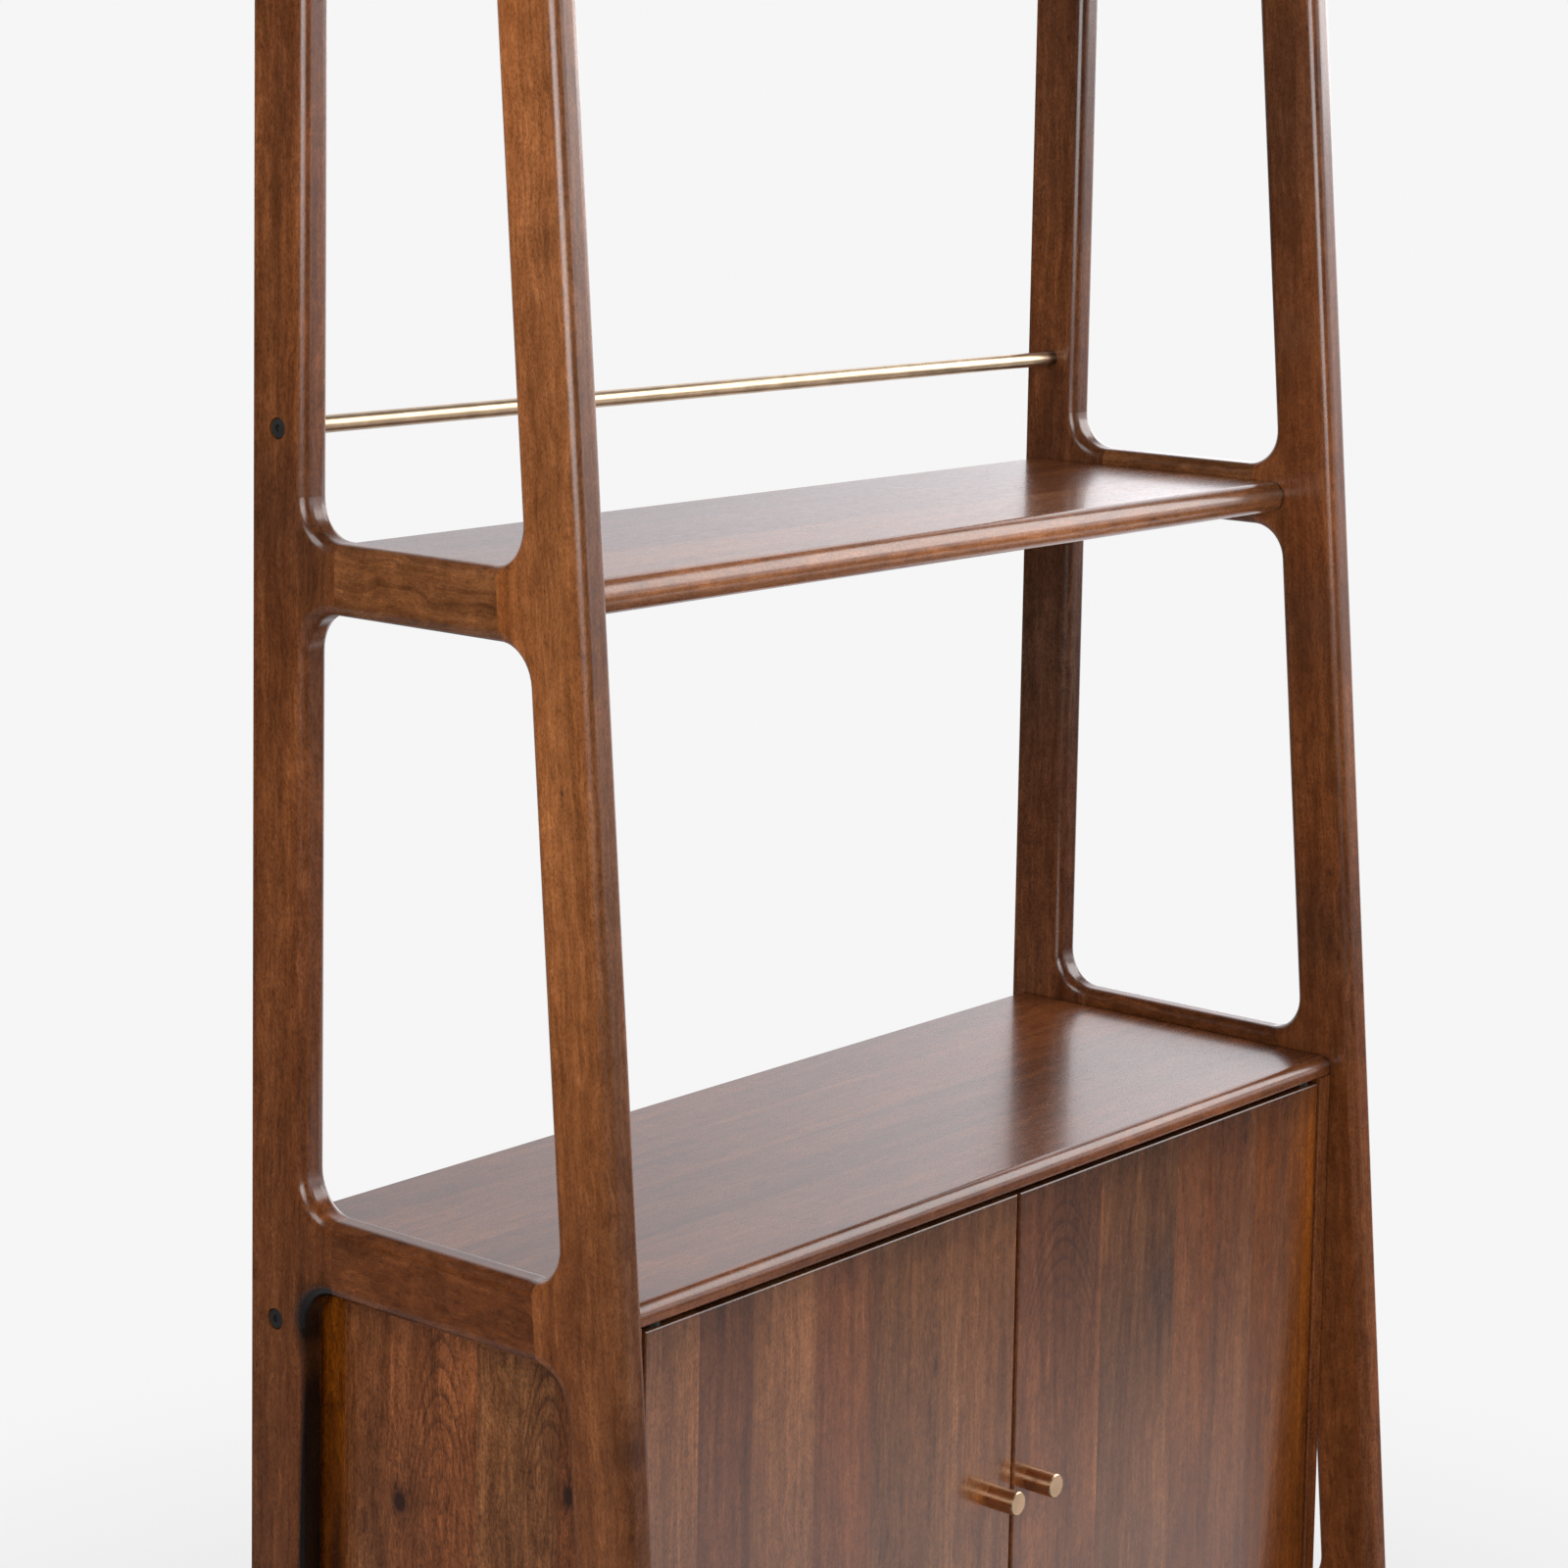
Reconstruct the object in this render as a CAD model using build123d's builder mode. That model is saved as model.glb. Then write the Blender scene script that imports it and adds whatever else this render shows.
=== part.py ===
from build123d import *
import os
from math import radians, tan

# Ladder bookcase: two leaning side frames, three open shelves, brass rails and a two-door cabinet.
# Units are millimetres. X runs along the width, +Y to the back, +Z up from the floor.
# The origin lies on the floor, in the middle of the footprint.

# Overall
overall_width = 900.0
floor_depth = 390.0
lowest_board_top = 140.0
level_pitch = 460.0
level_names = ["lower", "cabinet", "middle", "upper", "top"]

# Side frames
frame_thick = 26.0
post_depth = 48.5
leg_depth = 53.0
leg_lean_deg = 4.75
rung_height = 48.5
cabinet_rung_height = 53.0
rung_rise = 12.0
corner_radius = 28.0
crown_radius = 30.0
edge_round = 9.0
back_ease = 2.0
post_ear = 31.0
leg_ear = 22.0

# Tenons of the rungs, and their room in the mortises
tenon_thick = 10.0
tenon_height = 26.0
tenon_length = 20.0
tenon_side_clear = 0.15
tenon_end_clear = 1.0

# Glides under the feet
glide_radius = 10.0
glide_height = 3.0
glide_ease = 1.0
glide_peg_radius = 4.0
glide_peg_length = 14.0
glide_peg_clear = 0.1

# Open shelves
shelf_thick = 24.0
shelf_nose = 11.5
shelf_ease = 2.0
shelf_back_inset = 15.5
shelf_lap = 9.0
shelf_end_gap = 0.8

# Dowels between the board ends and the rungs
dowel_radius = 4.0
dowel_depth_rung = 14.0
dowel_depth_board = 15.0
dowel_inset = 18.0
dowel_clear = 0.1
dowel_end_clear = 1.0

# Rails behind the open shelves
rail_levels = ["middle", "upper"]
rail_radius = 6.0
rail_rise = 84.5
rail_socket_depth = 4.0
rail_socket_clear = 0.15
rail_thread_room = 2.0

# Joint bolts through the back posts
bolt_head_radius = 7.0
bolt_head_height = 3.0
bolt_head_ease = 0.6
bolt_radius = 3.0
bolt_recess = 0.8
bolt_socket_flats = 5.0
bolt_socket_depth = 1.8
bolt_hole_clear = 0.3
bolt_head_clear = 0.4
bolt_thread_clear = 0.05
rail_bolt_grip = 18.0
cabinet_bolt_grip = 10.0
cabinet_bolt_drop = 66.5
cabinet_bolt_rise = 50.0

# Cabinet box
cabinet_gap = 3.0
cabinet_reveal = 19.4
cabinet_back_inset = 14.5
board_thick = 14.5
board_nose = 9.0
board_ease = 2.0
side_thick = 15.0
side_ease = 1.0
back_thick = 5.0
back_rebate = 7.0
back_clear = 0.3
spacer_radius = 9.0
carcass_dowel_radius = 3.0
carcass_dowel_depth = 11.0
carcass_dowel_inset = 45.0

# Loose shelf inside the cabinet
inner_thick = 16.0
inner_setback = 24.0
inner_side_clear = 0.75
inner_back_clear = 1.5
pin_radius = 2.5
pin_depth = 9.0
pin_reach = 8.0
pin_clear = 0.1
pin_inset = 45.0
pin_pitch = 32.0
pin_rows = 3

# Doors, hung on pivots at their outer edges
door_thick = 18.0
door_gap = 3.2
door_ease = 1.5
pivot_from_edge = 14.0
pivot_from_front = 7.0
pivot_radius = 2.5
pivot_collar_radius = 5.0
pivot_collar_clear = 0.2
pivot_in_board = 11.0
pivot_in_bush = 9.0
bush_radius = 4.0
bush_length = 12.0
bush_run_clear = 0.05
bush_fit_clear = 0.05

# Knobs and their screws
knob_radius = 8.75
knob_length = 23.0
knob_ease = 0.8
knob_inset = 21.5
knob_thread_depth = 14.0
screw_radius = 2.0
screw_grip = 11.0
screw_head_radius = 4.0
screw_head_height = 2.4
screw_head_ease = 0.8
screw_hole_clear = 0.25
screw_thread_clear = 0.05

# Magnetic catch and its strike plates
catch_width = 44.0
catch_depth = 14.0
catch_height = 13.0
catch_ease = 1.0
catch_air = 0.3
strike_width = 15.0
strike_height = 11.0
strike_thick = 1.5
strike_inset = 3.0

# Places worked out from the sizes above
x_outer = overall_width / 2
x_inner = x_outer - frame_thick
y_back = floor_depth / 2
lean = tan(radians(leg_lean_deg))
foot_z = glide_height
post_front_y = y_back - post_depth
post_seam_y = post_front_y - post_ear
post_mid_y = y_back - post_depth / 2
board_tops = {name: lowest_board_top + i * level_pitch for i, name in enumerate(level_names)}
rung_tops = {name: top + rung_rise for name, top in board_tops.items()}
rung_heights = {name: rung_height for name in level_names}
rung_heights.update(cabinet=cabinet_rung_height)
frame_height = rung_tops[level_names[-1]]


def leg_front_y(z):
    """Front of the leaning leg at height z."""
    return lean * (z - foot_z) - floor_depth / 2


def leg_back_y(z):
    """Straight back edge of the leaning leg at height z."""
    return leg_front_y(z) + leg_depth


def leg_seam_y(z):
    """Joint line between leg and rung at height z."""
    return leg_back_y(z) + leg_ear


cabinet_x = x_inner - cabinet_gap
cabinet_front_y = leg_front_y(board_tops["cabinet"]) + cabinet_reveal
cabinet_back_y = y_back - cabinet_back_inset
side_x = cabinet_x - side_thick
carcass_low = board_tops["lower"]
carcass_high = board_tops["cabinet"] - board_thick
door_back_y = cabinet_front_y + door_thick
door_low = carcass_low + door_gap
door_high = carcass_high - door_gap
door_outer_x = side_x - door_gap
door_meet_x = door_gap / 2
pivot_x = door_outer_x - pivot_from_edge
pivot_y = cabinet_front_y + pivot_from_front
knob_x = door_meet_x + knob_inset
knob_z = (door_low + door_high) / 2
shelf_x = x_inner - shelf_end_gap
thickness = {name: shelf_thick for name in level_names}
thickness.update(lower=board_thick, cabinet=board_thick)
sides = {"left": -1, "right": 1}
LOW = (Align.CENTER, Align.CENTER, Align.MIN)
HIGH = (Align.CENTER, Align.CENTER, Align.MAX)


def rung_mid(name):
    """Middle height of the rung at a level."""
    return rung_tops[name] - rung_heights[name] / 2


def dowel_places(name):
    """Y and Z of the two dowels that carry one board end at a level."""
    z = board_tops[name] - thickness[name] / 2
    return [(post_seam_y - dowel_inset, z), (leg_seam_y(z) + dowel_inset, z)]


def outward(side, x, y, z):
    """Plane at a point of one side, facing out to that side."""
    return Plane(origin=(side * x, y, z), x_dir=(0, 1, 0), z_dir=(side, 0, 0))


def inward(side, x, y, z):
    """Plane at a point of one side, facing the middle of the bookcase."""
    return Plane(origin=(side * x, y, z), x_dir=(0, 1, 0), z_dir=(-side, 0, 0))


def save(piece, name):
    """Label one finished piece and write it."""
    piece.part.label = name
    export_step(piece.part, f"parts/{name}.step")


rail_heights = [board_tops[name] + rail_rise for name in rail_levels]
cabinet_bolt_heights = [board_tops["lower"] + cabinet_bolt_rise, board_tops["cabinet"] - cabinet_bolt_drop]
bolt_heights = rail_heights + cabinet_bolt_heights
feet_y = [post_mid_y, leg_front_y(foot_z) + leg_depth / 2]

# Joint planes: the post side of one, and the leg side of the other
post_seam = Plane(origin=(0, post_seam_y, 0), z_dir=(0, 1, 0))
leg_seam = Plane(origin=(0, leg_seam_y(0), 0), z_dir=(0, -1, lean))


def frame_blank(x_low):
    """One side frame in one piece, with every worked edge rounded, before it is cut at its joints."""
    rung_base = rung_tops[level_names[0]] - rung_heights[level_names[0]]
    with BuildPart() as blank:
        with BuildSketch(Plane.YZ.offset(x_low)):
            with BuildLine():
                FilletPolyline(
                    (y_back, foot_z),
                    (y_back, frame_height),
                    (leg_front_y(frame_height), frame_height),
                    (leg_front_y(foot_z), foot_z),
                    (leg_back_y(foot_z), foot_z),
                    (leg_back_y(rung_base), rung_base),
                    (post_front_y, rung_base),
                    (post_front_y, foot_z),
                    radius=[0, 0, crown_radius, 0, 0, corner_radius, corner_radius, 0],
                    close=True,
                )
            make_face()
            for below, above in zip(level_names, level_names[1:]):
                sill = rung_tops[below]
                head = rung_tops[above] - rung_heights[above]
                with BuildLine():
                    FilletPolyline(
                        (post_front_y, sill),
                        (post_front_y, head),
                        (leg_back_y(head), head),
                        (leg_back_y(sill), sill),
                        radius=corner_radius,
                        close=True,
                    )
                make_face(mode=Mode.SUBTRACT)
        extrude(amount=frame_thick)
        outline = blank.faces().filter_by(Axis.X).edges()
        worked = outline.filter_by_position(Axis.Y, -floor_depth, y_back - back_ease)
        worked = worked.filter_by_position(Axis.Z, foot_z + back_ease, frame_height)
        fillet(worked, radius=edge_round)
        fillet(blank.edges().filter_by(Axis.Z).group_by(Axis.Y)[-1], radius=back_ease)
    return blank.part


for side_name, side in sides.items():
    x_mid = side * (x_inner + frame_thick / 2)
    blank = frame_blank(min(side * x_inner, side * x_outer))
    mortise = (
        tenon_thick + 2 * tenon_side_clear,
        2 * (tenon_length + tenon_end_clear),
        tenon_height + 2 * tenon_side_clear,
    )

    # Back post: mortises, glide peg hole, bolt holes from outside and rail sockets from inside
    with BuildPart() as back_post:
        add(blank)
        split(bisect_by=post_seam, keep=Keep.TOP)
        with Locations([(x_mid, post_seam_y, rung_mid(name)) for name in level_names]):
            Box(*mortise, mode=Mode.SUBTRACT)
        with Locations((x_mid, feet_y[0], foot_z)):
            Cylinder(
                glide_peg_radius + glide_peg_clear, glide_peg_length, align=LOW, mode=Mode.SUBTRACT
            )
        with Locations([outward(side, x_outer, post_mid_y, z) for z in bolt_heights]):
            CounterBoreHole(
                bolt_radius + bolt_hole_clear,
                bolt_head_radius + bolt_head_clear,
                bolt_head_height + bolt_recess,
                frame_thick,
            )
        with Locations([inward(side, x_inner, post_mid_y, z) for z in rail_heights]):
            Hole(rail_radius + rail_socket_clear, rail_socket_depth)
    save(back_post, f"{side_name}_back_post")

    # Front leg: mortises and glide peg hole
    with BuildPart() as front_leg:
        add(blank)
        split(bisect_by=leg_seam, keep=Keep.TOP)
        with Locations([(x_mid, leg_seam_y(rung_mid(name)), rung_mid(name)) for name in level_names]):
            Box(*mortise, mode=Mode.SUBTRACT)
        with Locations((x_mid, feet_y[1], foot_z)):
            Cylinder(
                glide_peg_radius + glide_peg_clear, glide_peg_length, align=LOW, mode=Mode.SUBTRACT
            )
    save(front_leg, f"{side_name}_front_leg")

    # Rungs: what the two joint planes leave, with a tenon at each end and the dowel holes of the boards
    with BuildPart() as between:
        add(blank)
        split(bisect_by=post_seam, keep=Keep.BOTTOM)
        split(bisect_by=leg_seam, keep=Keep.BOTTOM)
    for name, bar in zip(level_names, between.part.solids().sort_by(Axis.Z)):
        z_mid = rung_mid(name)
        with BuildPart() as rung:
            add(bar)
            with Locations((x_mid, post_seam_y, z_mid), (x_mid, leg_seam_y(z_mid), z_mid)):
                Box(tenon_thick, 2 * tenon_length, tenon_height)
            with Locations([inward(side, x_inner, y, z) for y, z in dowel_places(name)]):
                Hole(dowel_radius + dowel_clear, dowel_depth_rung + dowel_end_clear)
        save(rung, f"{side_name}_{name}_rung")

# Nylon glides, one under each foot
with BuildPart() as foot_glides:
    for side in sides.values():
        with Locations([(side * (x_inner + frame_thick / 2), y, 0) for y in feet_y]):
            Cylinder(glide_radius, glide_height, align=LOW)
            Cylinder(glide_peg_radius, glide_height + glide_peg_length - glide_peg_clear, align=LOW)
    chamfer(foot_glides.edges().group_by(Axis.Z)[0], length=glide_ease)
save(foot_glides, "foot_glides")


def board(half_width, front, back, top, thick, radii):
    """Flat board along X, whose four long edges have their own radii."""
    with BuildPart() as plank:
        with BuildSketch(Plane.YZ.offset(-half_width)):
            with BuildLine():
                FilletPolyline(
                    (front, top),
                    (back, top),
                    (back, top - thick),
                    (front, top - thick),
                    radius=radii,
                    close=True,
                )
            make_face()
        extrude(amount=2 * half_width)
    return plank.part


def dowel_planes(name, x):
    """Planes at the board ends of a level, facing out along each dowel."""
    return [outward(side, x, y, z) for side in sides.values() for y, z in dowel_places(name)]


# Open shelves: a bullnosed front that laps the legs, and dowel holes in both ends
for name in level_names[2:]:
    nose_y = leg_back_y(board_tops[name]) - shelf_lap
    with BuildPart() as shelf:
        radii = [shelf_nose, shelf_ease, shelf_ease, shelf_nose]
        add(board(shelf_x, nose_y, y_back - shelf_back_inset, board_tops[name], shelf_thick, radii))
        with Locations(dowel_planes(name, shelf_x)):
            Hole(dowel_radius + dowel_clear, dowel_depth_board + dowel_end_clear)
    save(shelf, f"{name}_shelf")

# Dowels of every board, from the rungs into the board ends
with BuildPart() as board_dowels:
    for name in level_names:
        x_end = shelf_x if name in level_names[2:] else cabinet_x
        reach = x_inner - x_end + dowel_depth_rung + dowel_depth_board
        with Locations(dowel_planes(name, x_end - dowel_depth_board)):
            Cylinder(dowel_radius, reach, align=LOW)
save(board_dowels, "board_dowels")

# Brass rails, bored at both ends for their bolts
rail_x = x_inner + rail_socket_depth
for name, z in zip(rail_levels, rail_heights):
    with BuildPart() as rail:
        with Locations(outward(-1, rail_x, post_mid_y, z)):
            Cylinder(rail_radius, 2 * rail_x, align=HIGH)
        with Locations([outward(side, rail_x, post_mid_y, z) for side in sides.values()]):
            Hole(bolt_radius + bolt_thread_clear, rail_bolt_grip + rail_thread_room)
    save(rail, f"{name}_rail")


def joint_bolt(shank):
    """Flat-headed bolt with a hexagon socket: the head's face at the origin, the shank down -Z."""
    with BuildPart() as bolt:
        Cylinder(bolt_head_radius, bolt_head_height, align=HIGH)
        chamfer(bolt.faces().sort_by(Axis.Z)[-1].edges(), length=bolt_head_ease)
        with Locations((0, 0, -bolt_head_height)):
            Cylinder(bolt_radius, shank, align=HIGH)
        with BuildSketch():
            RegularPolygon(bolt_socket_flats / 2, 6, major_radius=False)
        extrude(amount=-bolt_socket_depth, mode=Mode.SUBTRACT)
    return bolt.part


# Bolts lie just below the outer faces of the posts
bolt_x = x_outer - bolt_recess
with BuildPart() as rail_bolts:
    one_bolt = joint_bolt(bolt_x - bolt_head_height - rail_x + rail_bolt_grip)
    with Locations([outward(side, bolt_x, post_mid_y, z) for side in sides.values() for z in rail_heights]):
        add(one_bolt)
save(rail_bolts, "rail_bolts")

with BuildPart() as cabinet_bolts:
    one_bolt = joint_bolt(bolt_x - bolt_head_height - cabinet_x + cabinet_bolt_grip)
    with Locations(
        [outward(side, bolt_x, post_mid_y, z) for side in sides.values() for z in cabinet_bolt_heights]
    ):
        add(one_bolt)
save(cabinet_bolts, "cabinet_bolts")

# Spacer washers that keep the cabinet off the posts
with BuildPart() as cabinet_spacers:
    with Locations(
        [outward(side, cabinet_x, post_mid_y, z) for side in sides.values() for z in cabinet_bolt_heights]
    ):
        Cylinder(spacer_radius, cabinet_gap, align=LOW)
        Cylinder(bolt_radius + bolt_hole_clear, cabinet_gap, align=LOW, mode=Mode.SUBTRACT)
save(cabinet_spacers, "cabinet_spacers")

# Places of the dowels that join the cabinet sides to its top and bottom: the front ones
# stand halfway between the board dowels of the two levels, the back ones in from the back
carcass_dowel_x = cabinet_x - side_thick / 2
front_board_dowel_y = [dowel_places(name)[1][0] for name in ("lower", "cabinet")]
carcass_dowel_y = [sum(front_board_dowel_y) / 2, cabinet_back_y - carcass_dowel_inset]
carcass_dowel_points = [(side * carcass_dowel_x, y) for side in sides.values() for y in carcass_dowel_y]
pivot_points = [(side * pivot_x, pivot_y) for side in sides.values()]

# Cabinet top: rounded front edge, seats for the side dowels and the door pivots below
with BuildPart() as cabinet_top:
    radii = [board_nose, board_ease, board_ease, board_ease]
    add(board(cabinet_x, cabinet_front_y, cabinet_back_y, board_tops["cabinet"], board_thick, radii))
    with Locations(dowel_planes("cabinet", cabinet_x)):
        Hole(dowel_radius + dowel_clear, dowel_depth_board + dowel_end_clear)
    with Locations([(x, y, carcass_high) for x, y in carcass_dowel_points]):
        Cylinder(carcass_dowel_radius + dowel_clear, carcass_dowel_depth, align=LOW, mode=Mode.SUBTRACT)
    with Locations([(x, y, carcass_high) for x, y in pivot_points]):
        Cylinder(pivot_radius + bush_fit_clear, pivot_in_board, align=LOW, mode=Mode.SUBTRACT)
save(cabinet_top, "cabinet_top")

# Cabinet bottom: the same seats, facing up
with BuildPart() as cabinet_bottom:
    radii = [board_ease, board_ease, board_ease, board_nose]
    add(board(cabinet_x, cabinet_front_y, cabinet_back_y, board_tops["lower"], board_thick, radii))
    with Locations(dowel_planes("lower", cabinet_x)):
        Hole(dowel_radius + dowel_clear, dowel_depth_board + dowel_end_clear)
    with Locations([(x, y, carcass_low) for x, y in carcass_dowel_points]):
        Cylinder(carcass_dowel_radius + dowel_clear, carcass_dowel_depth, align=HIGH, mode=Mode.SUBTRACT)
    with Locations([(x, y, carcass_low) for x, y in pivot_points]):
        Cylinder(pivot_radius + bush_fit_clear, pivot_in_board, align=HIGH, mode=Mode.SUBTRACT)
save(cabinet_bottom, "cabinet_bottom")

# Inside of the cabinet: the loose shelf and its pin holes
carcass_height = carcass_high - carcass_low
carcass_mid = (carcass_low + carcass_high) / 2
inner_front_y = door_back_y + inner_setback
inner_back_y = cabinet_back_y - back_thick - inner_back_clear
pin_y = [inner_front_y + pin_inset, inner_back_y - pin_inset]
pin_z = [carcass_mid + (i - (pin_rows - 1) / 2) * pin_pitch for i in range(pin_rows)]
pin_seat_z = carcass_mid + pin_radius

# Cabinet sides: back rebate, dowels, bolt holes and rows of shelf pin holes
for side_name, side in sides.items():
    with BuildPart() as cabinet_side:
        with BuildSketch(Plane.XY.offset(carcass_low)):
            with BuildLine():
                FilletPolyline(
                    (side * cabinet_x, cabinet_front_y),
                    (side * side_x, cabinet_front_y),
                    (side * side_x, cabinet_back_y - back_thick),
                    (side * (side_x + back_rebate), cabinet_back_y - back_thick),
                    (side * (side_x + back_rebate), cabinet_back_y),
                    (side * cabinet_x, cabinet_back_y),
                    radius=[side_ease, side_ease, 0, 0, 0, side_ease],
                    close=True,
                )
            make_face()
        extrude(amount=carcass_height)
        end_points = [(side * carcass_dowel_x, y) for y in carcass_dowel_y]
        seat = (carcass_dowel_radius + dowel_clear, carcass_dowel_depth)
        with Locations([(x, y, carcass_low) for x, y in end_points]):
            Cylinder(*seat, align=LOW, mode=Mode.SUBTRACT)
        with Locations([(x, y, carcass_high) for x, y in end_points]):
            Cylinder(*seat, align=HIGH, mode=Mode.SUBTRACT)
        with Locations([outward(side, cabinet_x, post_mid_y, z) for z in cabinet_bolt_heights]):
            Hole(bolt_radius + bolt_thread_clear, cabinet_bolt_grip + dowel_end_clear)
        with Locations([inward(side, side_x, y, z) for y in pin_y for z in pin_z]):
            Hole(pin_radius + pin_clear, pin_depth + pin_clear)
    save(cabinet_side, f"cabinet_{side_name}_side")

# Dowels of the cabinet box, half in a side and half in the top or bottom
with BuildPart() as cabinet_dowels:
    half_dowel = carcass_dowel_depth - dowel_clear
    with Locations([(x, y, z) for x, y in carcass_dowel_points for z in (carcass_low, carcass_high)]):
        Cylinder(carcass_dowel_radius, 2 * half_dowel)
save(cabinet_dowels, "cabinet_dowels")

# Thin back panel in the rebates of the sides
with BuildPart() as cabinet_back:
    with Locations((0, cabinet_back_y - back_thick / 2, carcass_mid)):
        Box(2 * (side_x + back_rebate - back_clear), back_thick, carcass_height - 2 * back_clear)
save(cabinet_back, "cabinet_back")

with BuildPart() as inner_shelf:
    radii = [board_ease, 0, 0, board_ease]
    inner_top = pin_seat_z + inner_thick
    add(board(side_x - inner_side_clear, inner_front_y, inner_back_y, inner_top, inner_thick, radii))
save(inner_shelf, "inner_shelf")

# Shelf pins in the middle holes of their rows
with BuildPart() as inner_shelf_pins:
    pin_root_x = side_x + pin_depth
    with Locations([inward(side, pin_root_x, y, carcass_mid) for side in sides.values() for y in pin_y]):
        Cylinder(pin_radius, pin_depth + pin_reach, align=LOW)
save(inner_shelf_pins, "inner_shelf_pins")

# Doors with everything that swings with them, and the pivots that stay in the cabinet
door_edges_z = {door_low: LOW, door_high: HIGH}
for side_name, side in sides.items():
    door_mid_x = side * (door_meet_x + door_outer_x) / 2
    front_at_knob = Plane(origin=(side * knob_x, cabinet_front_y, knob_z), z_dir=(0, -1, 0))
    back_at_knob = Plane(origin=(side * knob_x, door_back_y, knob_z), z_dir=(0, 1, 0))
    axis_point = (side * pivot_x, pivot_y)

    with BuildPart() as door:
        with Locations((door_mid_x, (cabinet_front_y + door_back_y) / 2, (door_low + door_high) / 2)):
            Box(door_outer_x - door_meet_x, door_thick, door_high - door_low)
        fillet(door.faces().sort_by(Axis.Y)[0].edges(), radius=door_ease)
        with Locations(front_at_knob):
            Hole(screw_radius + screw_hole_clear, door_thick)
        for z, align in door_edges_z.items():
            with Locations((*axis_point, z)):
                Cylinder(bush_radius + bush_fit_clear, bush_length, align=align, mode=Mode.SUBTRACT)
    save(door, f"{side_name}_door")

    with BuildPart() as bushes:
        for z, align in door_edges_z.items():
            with Locations((*axis_point, z)):
                Cylinder(bush_radius, bush_length, align=align)
                Cylinder(pivot_radius + bush_run_clear, bush_length, align=align, mode=Mode.SUBTRACT)
    save(bushes, f"{side_name}_door_bushes")

    with BuildPart() as pivots:
        collar_height = door_gap - pivot_collar_clear
        pin_length = pivot_in_board + door_gap + pivot_in_bush
        with Locations((*axis_point, carcass_low)):
            Cylinder(pivot_collar_radius, collar_height, align=LOW)
        with Locations((*axis_point, carcass_low - pivot_in_board)):
            Cylinder(pivot_radius, pin_length, align=LOW)
        with Locations((*axis_point, carcass_high)):
            Cylinder(pivot_collar_radius, collar_height, align=HIGH)
        with Locations((*axis_point, carcass_high + pivot_in_board)):
            Cylinder(pivot_radius, pin_length, align=HIGH)
    save(pivots, f"{side_name}_door_pivots")

    with BuildPart() as knob:
        with Locations(front_at_knob):
            Cylinder(knob_radius, knob_length, align=LOW)
            Cylinder(
                screw_radius + screw_thread_clear, knob_thread_depth, align=LOW, mode=Mode.SUBTRACT
            )
        chamfer(knob.faces().sort_by(Axis.Y)[0].edges(), length=knob_ease)
    save(knob, f"{side_name}_knob")

    with BuildPart() as knob_screw:
        with Locations(back_at_knob):
            Cylinder(screw_head_radius, screw_head_height, align=LOW)
            Cylinder(screw_radius, door_thick + screw_grip, align=HIGH)
        chamfer(knob_screw.faces().sort_by(Axis.Y)[-1].edges(), length=screw_head_ease)
    save(knob_screw, f"{side_name}_knob_screw")

    with BuildPart() as strike_plate:
        strike_x = side * (door_meet_x + strike_inset + strike_width / 2)
        strike_z = door_high - strike_inset - strike_height / 2
        with Locations((strike_x, door_back_y + strike_thick / 2, strike_z)):
            Box(strike_width, strike_thick, strike_height)
    save(strike_plate, f"{side_name}_strike_plate")

# Magnetic catch under the cabinet top, just behind the strike plates
with BuildPart() as door_catch:
    catch_front_y = door_back_y + strike_thick + catch_air
    with Locations((0, catch_front_y + catch_depth / 2, carcass_high - catch_height / 2)):
        Box(catch_width, catch_depth, catch_height)
    chamfer(door_catch.faces().sort_by(Axis.Z)[0].edges(), length=catch_ease)
save(door_catch, "door_catch")
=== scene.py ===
import math
from typing import NamedTuple

import bpy
from mathutils import Matrix, Vector


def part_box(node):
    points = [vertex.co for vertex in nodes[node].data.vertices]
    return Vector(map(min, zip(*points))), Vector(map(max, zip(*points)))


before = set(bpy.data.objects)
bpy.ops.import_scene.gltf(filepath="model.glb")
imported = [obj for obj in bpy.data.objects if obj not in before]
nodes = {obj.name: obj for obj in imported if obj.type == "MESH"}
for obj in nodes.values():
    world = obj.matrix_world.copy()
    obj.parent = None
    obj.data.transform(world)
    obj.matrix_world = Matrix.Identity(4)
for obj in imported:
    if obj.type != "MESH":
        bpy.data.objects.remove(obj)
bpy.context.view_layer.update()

scene = bpy.context.scene

# Camera at the photograph's viewing angle
CAMERA_PLACE = Vector((-2.1722, -1.7040, 1.4103))
CAMERA_YAW = math.radians(50.18)
CAMERA_PITCH = math.radians(6.417)
CAMERA_ROLL = math.radians(-1.003)
SENSOR_MM = 36
LENS_MM = 87.66
SHIFT_Y = -0.204
CLIP_END = 50

# Studio. The camera sees an even backdrop. Reflections see a room: dark behind the camera and to the left, a
# little paler low down there, banded to the right, and pale behind the bookcase, with a glare on that wall.
# Levels are brightness. The right wall is given as pairs of a direction's height and its brightness.
BACKDROP = 0.92
DARK_LEVEL = 0.03
LOW_LEVEL = 0.22
BACK_LEVELS = (0.90, 2.0)
BACK_GLARE = 1.6
BACK_LOW_SHARE = 0.3
REFLECTED_TINT = (0.98, 0.96, 1.0, 1)
WHITE = (1, 1, 1, 1)
WALL_HEIGHTS = (-1.0, 0.5)
RIGHT_WALL = (
    (-0.8, 0.1), (-0.55, 0.15), (-0.46, 0.6), (-0.41, 1.4), (-0.36, 1.05), (-0.335, 0.38), (-0.31, 0.05),
    (-0.29, 0.02), (-0.16, 0.02), (-0.06, 0.8), (0.06, 2.0), (0.25, 0.8), (0.5, 0.2),
)
FLOOR_REACH = 4.0
FLOOR_SIDES = 96
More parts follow.
